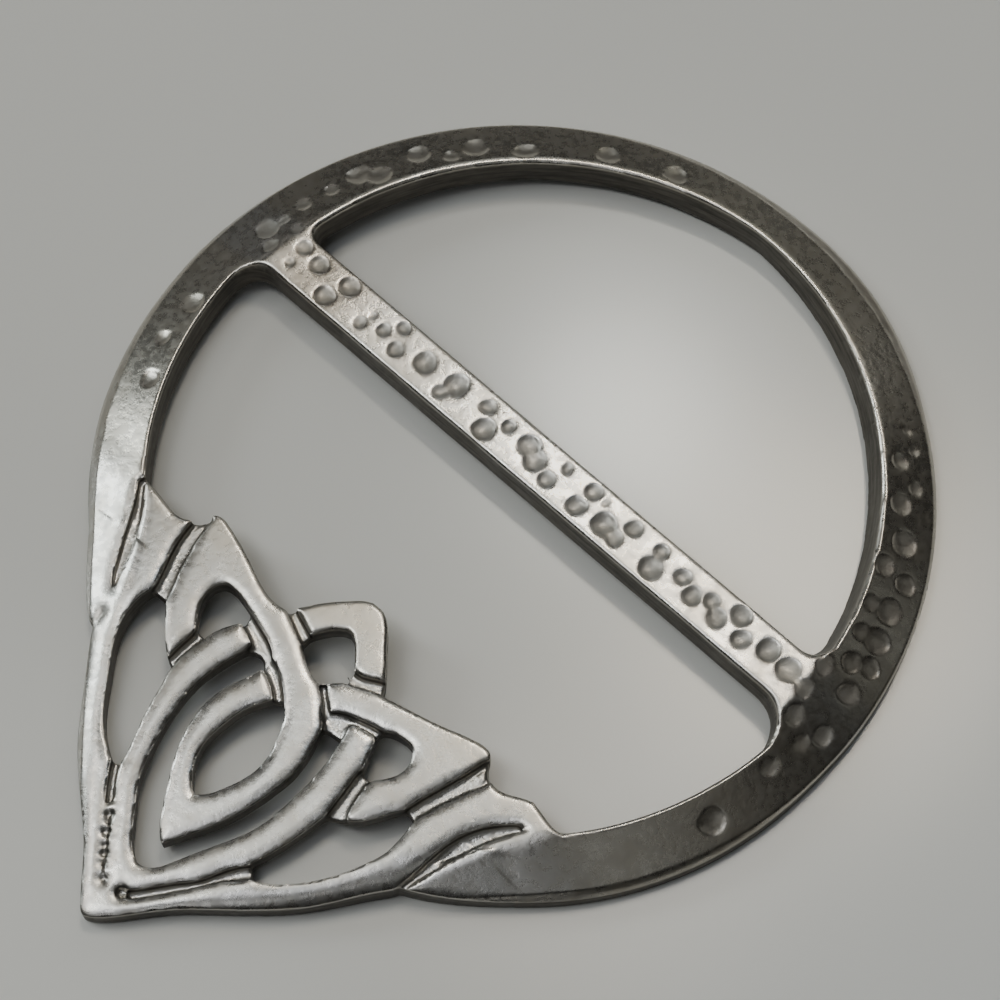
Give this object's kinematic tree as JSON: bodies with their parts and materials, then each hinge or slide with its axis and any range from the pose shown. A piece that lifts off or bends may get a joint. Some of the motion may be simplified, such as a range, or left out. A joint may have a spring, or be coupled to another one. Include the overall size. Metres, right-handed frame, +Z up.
{
  "type": "scarf slide buckle",
  "caption": "Round cast pewter frame with a hammered crossbar and a pointed interlace panel; cloth is drawn behind the bar.",
  "frame": {"origin": "middle of the footprint, on the surface it lies on", "axes": "+X along the crossbar, +Y from the point towards the round of the frame, +Z up out of the face"},
  "size_m": [0.0646, 0.0786, 0.0043],
  "materials": {
    "pewter": "satin cast pewter, hammered, dark tarnish in the recesses and rubbed bright on the edges"
  },
  "bodies": {
    "root": {"frame": "pewter"}
  },
  "joints": []
}
